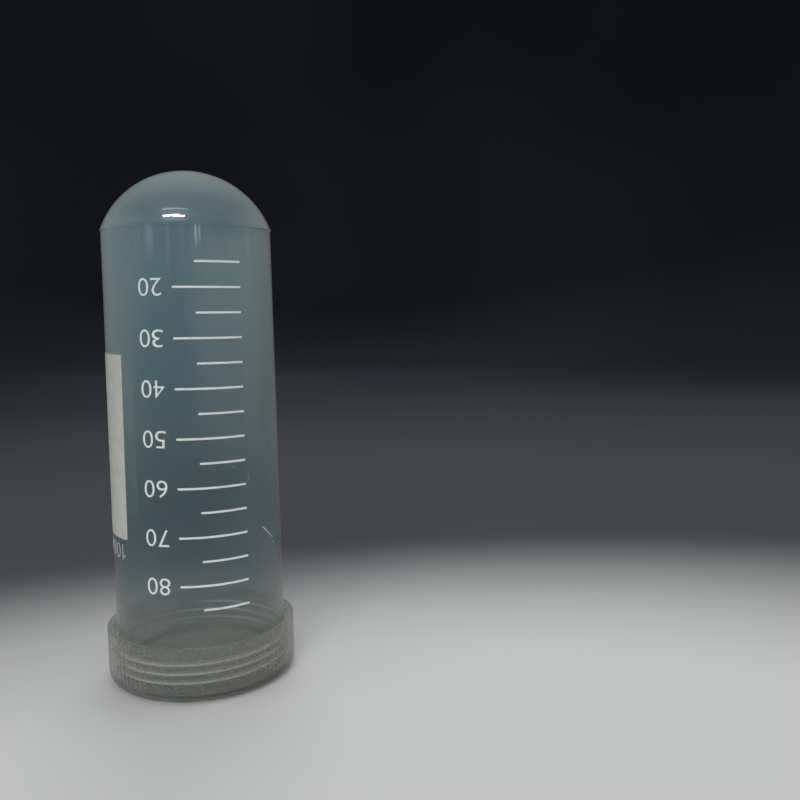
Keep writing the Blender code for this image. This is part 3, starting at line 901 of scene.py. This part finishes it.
def rounded_box(left, right, low, high, corner):
    found = []
    for x, y, start in (
        (right - corner, high - corner, 0),
        (left + corner, high - corner, 90),
        (left + corner, low + corner, 180),
        (right - corner, low + corner, 270),
    ):
        for i in range(7):
            turn = math.radians(start + 15 * i)
            found.append((x + corner * math.cos(turn), y + corner * math.sin(turn)))
    return found


def roughen(shape, seed, rough):
    """Shifts the outline's points by a coarse noise and a fine one at half strength."""
    for v in shape.verts:
        if not v.is_boundary:
            continue
        coarse = Vector((v.co.x * 1500 + 7.3, v.co.y * 1500, seed))
        fine = Vector((v.co.x * 4200, v.co.y * 4200 + 3.1, 5.0))
        v.co.x += (noise.noise(coarse) + 0.5 * noise.noise(fine)) * rough
        coarse += Vector((31, 0, 0))
        fine += Vector((0, 17, 0))
        v.co.y += (noise.noise(coarse) + 0.5 * noise.noise(fine)) * rough


def film(node, mesh, box, material, cell, rough):
    """Lays a flat outline on the tube, cut into cells so that it curves, its edges uneven."""
    name = node + "_print"
    left, right, low, high = box
    shape = bmesh.new()
    shape.from_mesh(mesh)
    bpy.data.meshes.remove(mesh)
    bmesh.ops.remove_doubles(shape, verts=shape.verts, dist=2e-7)
    for axis, first, last in ((0, left, right), (1, low, high)):
        count = max(1, int((last - first) / cell))
        for i in range(1, count):
            at, way = [0.0, 0.0, 0.0], [0.0, 0.0, 0.0]
            at[axis], way[axis] = first + (last - first) * i / count, 1.0
            parts = shape.verts[:] + shape.edges[:] + shape.faces[:]
            bmesh.ops.bisect_plane(shape, geom=parts, plane_co=at, plane_no=way, dist=1e-8)
    roughen(shape, len(name), rough)
    solid = bmesh.new()
    under, over = (
        {v: solid.verts.new(wrapped(v.co.x, v.co.y, lift)) for v in shape.verts}
        for lift in (INK_LIFT, INK_LIFT + INK_THICK)
    )
    for face in shape.faces:
        solid.faces.new([over[v] for v in face.verts])
        solid.faces.new([under[v] for v in reversed(face.verts)])
    for edge in shape.edges:
        if edge.is_boundary:
            start, end = edge.link_loops[0].vert, edge.link_loops[0].link_loop_next.vert
            solid.faces.new([over[end], over[start], under[start], under[end]])
    shape.free()
    made = bpy.data.meshes.new(name)
    fill(made, solid)
    made.materials.append(material)
    made.shade_smooth()
    made.set_sharp_from_angle(angle=math.radians(35))
    hand_over(linked(name, made), "tube", node)


def letter(node, sign, weight, material):
    """One printed character, fitted upside down into its CAD node's box."""
    if sign == "1":
        mesh = outline(ONE)
    else:
        curve = bpy.data.curves.new("sign", "FONT")
        curve.body = sign
        curve.size = 1.0
        curve.resolution_u = 14
        curve.offset = weight
        mesh = curve_mesh(curve)
    xs, ys = [v.co.x for v in mesh.vertices], [v.co.y for v in mesh.vertices]
    box = laid_out(node)
    left, right, low, high = box
    for v in mesh.vertices:
        x = (v.co.x - min(xs)) / (max(xs) - min(xs))
        y = (v.co.y - min(ys)) / (max(ys) - min(ys))
        v.co = (right + (left - right) * x, high + (low - high) * y, 0.0)
    film(node, mesh, box, material, cell=0.45 * MM, rough=0.018 * MM)


def scale_mark(node):
    box = laid_out(node)
    left, right, low, high = box
    inset_x, inset_y = 0.02 * MM, 0.025 * MM
    shape = rounded_box(
        left + inset_x, right - inset_x, low + inset_y, high - inset_y, corner=0.16 * MM
    )
    film(node, outline(shape), box, INK_MAT, cell=0.4 * MM, rough=0.030 * MM)


def writing_patch(node):
    box = laid_out(node)
    shape = rounded_box(*box, corner=0.3 * MM)
    film(node, outline(shape), box, PATCH_MAT, cell=0.8 * MM, rough=0.05 * MM)


def build_print():
    for node in sorted(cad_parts):
        if node.startswith("scale_mark"):
            scale_mark(node)
        elif node.startswith("numeral"):
            digits = node.split("_")[1]
            sign = digits[0] if node.endswith("tens") else digits[1]
            letter(node, sign, weight=-0.008, material=INK_MAT)
        elif node.startswith("capacity"):
            letter(node, node.split("_")[2], weight=-0.012, material=THIN_INK_MAT)
        elif node == "writing_patch":
            writing_patch(node)


build_tube()
build_cap()
build_seal()
build_print()


# ---------------------------------------------------------------- stage
def sweep_material():
    """Pale paper with a painted pool of light round the tube's foot, darkening with distance as
    painted falloff.
    """
    tree = Tree("studio_sweep")
    wide = tree.vector("MULTIPLY", tree.place, (0.6, 1.0, 1.0))
    far = tree.vector("DISTANCE", wide, (0.02, -0.06, 0.0), output=1)
    # Painted pool of light: pale round the tube's foot, painted dark further out.
    light_pool_falloff = far.ramp(over=(0.050, 0.165))
    pale = tree.blend((0.58, 0.585, 0.59), towards=(0.060, 0.064, 0.069), by=light_pool_falloff)
    pale = tree.blend(pale, towards=(0.022, 0.026, 0.031), by=far.ramp(over=(0.18, 0.80)))
    patches = tree.noise(scale=2.0, detail=2.0).ramp(over=(0.35, 0.65)) * 0.02
    pale = tree.blend(pale, towards=(0.4, 0.4, 0.4), by=patches)
    paper = tree.noise(scale=1400.0, detail=2.0)
    return tree.finish(tree.node(
        "ShaderNodeBsdfPrincipled",
        Base_Color=pale,
        Roughness=0.75,
        Specular_IOR_Level=0.25,
        Normal=tree.bump(paper, strength=0.15, distance=0.02 * MM),
    ))


def build_sweep():
    """A round floor that curves up into a wall, in metres."""
    material = sweep_material()
    profile = [(radius, 0.0) for radius in (0.02, 0.05, 0.1, 0.2, 0.4, 0.7, 1.0)]
    for turn in range(6, 91, 6):
        turn = math.radians(turn)
        profile.append((1.0 + 0.5 * math.sin(turn), 0.5 - 0.5 * math.cos(turn)))
    profile += [(1.5, 0.9), (1.5, 1.4), (1.5, 2.2)]
    count = 128
    sink = 0.00004  # keeps the floor clear of the cap's underside
    points = [(0.0, 0.0, 0.0 - sink)]
    for radius, z in profile:
        for j in range(count):
            phi = math.tau * j / count
            points.append((radius * math.cos(phi), radius * math.sin(phi), z - sink))
    faces = [(0, 1 + j, 1 + (j + 1) % count) for j in range(count)]
    for i in range(len(profile) - 1):
        faces += band(1 + i * count, count, 1 + (i + 1) * count, count)
    mesh = bpy.data.meshes.new("sweep")
    mesh.from_pydata(points, [], faces)
    mesh.materials.append(material)
    mesh.shade_smooth()
    linked("sweep", mesh)


build_sweep()

# ---------------------------------------------------------------- lights
WARM, COOL = (1.0, 0.99, 0.97), (0.95, 0.98, 1.0)
# Narrow lamps for crisp highlights on the round end:
# name, directions of both ends seen from the crown, height, radiance, colour.
STRIPS = (
    ("key_strip", (-0.405, -0.473, 0.781), (-0.022, -0.585, 0.810), 0.033, 62.0, WARM),
    ("upper_strip", (-0.400, -0.321, 0.859), (0.022, -0.442, 0.897), 0.03, 6.0, COOL),
    ("lower_strip", (-0.422, -0.549, 0.722), (0.017, -0.665, 0.747), 0.025, 1.6, COOL),
)
STRIP_DISTANCE = 0.8
# Soft boxes: name, direction seen from the tube, distance, width, height, radiance, colour.
BOXES = (
    ("front_box", (-0.30, -1.0, 0.85), 1.0, 0.6, 0.5, 6.5, WARM),
    ("overhead", (0.05, 0.10, 1.0), 0.62, 0.5, 0.5, 1.7, (1.0, 0.985, 0.96)),
    ("left_box", (-1.0, -0.15, 0.55), 1.05, 0.7, 0.6, 0.9, (0.97, 0.985, 1.0)),
    ("right_box", (1.0, 0.05, 0.60), 1.05, 0.7, 0.6, 1.7, WARM),
    ("back_box", (0.15, 1.0, 0.60), 1.1, 0.8, 0.6, 2.8, (0.98, 0.99, 1.0)),
)


def lamp(
    name, towards, distance, wide, high, radiance, colour, target=(0.0, 0.0, 0.06), across=None
):
    """An area light facing the target. With across, its long axis, it only makes reflections."""
    light = bpy.data.lights.new(name, "AREA")
    light.shape = "RECTANGLE"
    light.size, light.size_y = wide, high
    light.energy = radiance * math.pi * wide * high
    light.color = colour
    obj = linked(name, light)
    way = Vector(towards).normalized()
    along = Vector(across or (-way.y, way.x, 0.0))
    along = (along - along.dot(way) * way).normalized()
    obj.matrix_world = Matrix((along, way.cross(along), way)).transposed().to_4x4()
    obj.location = Vector(target) + way * distance
    obj.visible_camera = False
    if across:
        obj.visible_diffuse = obj.visible_transmission = False
    else:
        obj.visible_glossy = False


for name, one_end, other_end, high, radiance, colour in STRIPS:
    one = Vector(one_end).normalized() * STRIP_DISTANCE
    other = Vector(other_end).normalized() * STRIP_DISTANCE
    middle, span = one + other, other - one
    lamp(
        name, middle, middle.length / 2, span.length, high, radiance, colour,
        target=(0.0, 0.0, 0.1), across=tuple(span),
    )
for row in BOXES:
    lamp(*row)

world = bpy.data.worlds.new("studio")
world.use_nodes = True
background = world.node_tree.nodes["Background"]
background.inputs["Color"].default_value = (0.62, 0.70, 0.78, 1.0)
background.inputs["Strength"].default_value = 0.30
bpy.context.scene.world = world

# ---------------------------------------------------------------- camera and render
# Downward pitch, yaw, roll, and a turn of the whole view round the tube.
DOWN, YAW, ROLL, ROUND = (math.radians(a) for a in (6.2535, 13.2037, -0.8184, 0.5))
CAMERA_PLACE = (0.0, -205.45 * MM, 84.10 * MM)

forward = Vector((
    math.sin(YAW) * math.cos(DOWN), math.cos(YAW) * math.cos(DOWN), -math.sin(DOWN)
))
side = Vector((math.cos(YAW), -math.sin(YAW), 0.0))
up = side.cross(forward)
across = math.cos(ROLL) * side + math.sin(ROLL) * up
upward = -math.sin(ROLL) * side + math.cos(ROLL) * up
pose = Matrix((across, upward, -forward)).transposed().to_4x4()
pose.translation = Vector(CAMERA_PLACE)
camera_data = bpy.data.cameras.new("camera")
camera_data.lens = 39.805
camera_data.sensor_width = 36.0
camera_data.clip_start, camera_data.clip_end = 0.005, 20.0
camera = linked("camera", camera_data)
camera.matrix_world = Matrix.Rotation(ROUND, 4, "Z") @ pose

scene = bpy.context.scene
scene.camera = camera
scene.view_settings.view_transform = "Standard"
scene.view_settings.look = "None"
scene.view_settings.exposure = 0.0
scene.cycles.max_bounces = 14
scene.cycles.transparent_max_bounces = 40
scene.cycles.diffuse_bounces = 4
scene.cycles.glossy_bounces = 4
scene.cycles.transmission_bounces = 10
scene.cycles.use_denoising = True
scene.cycles.caustics_reflective = False
scene.cycles.caustics_refractive = False
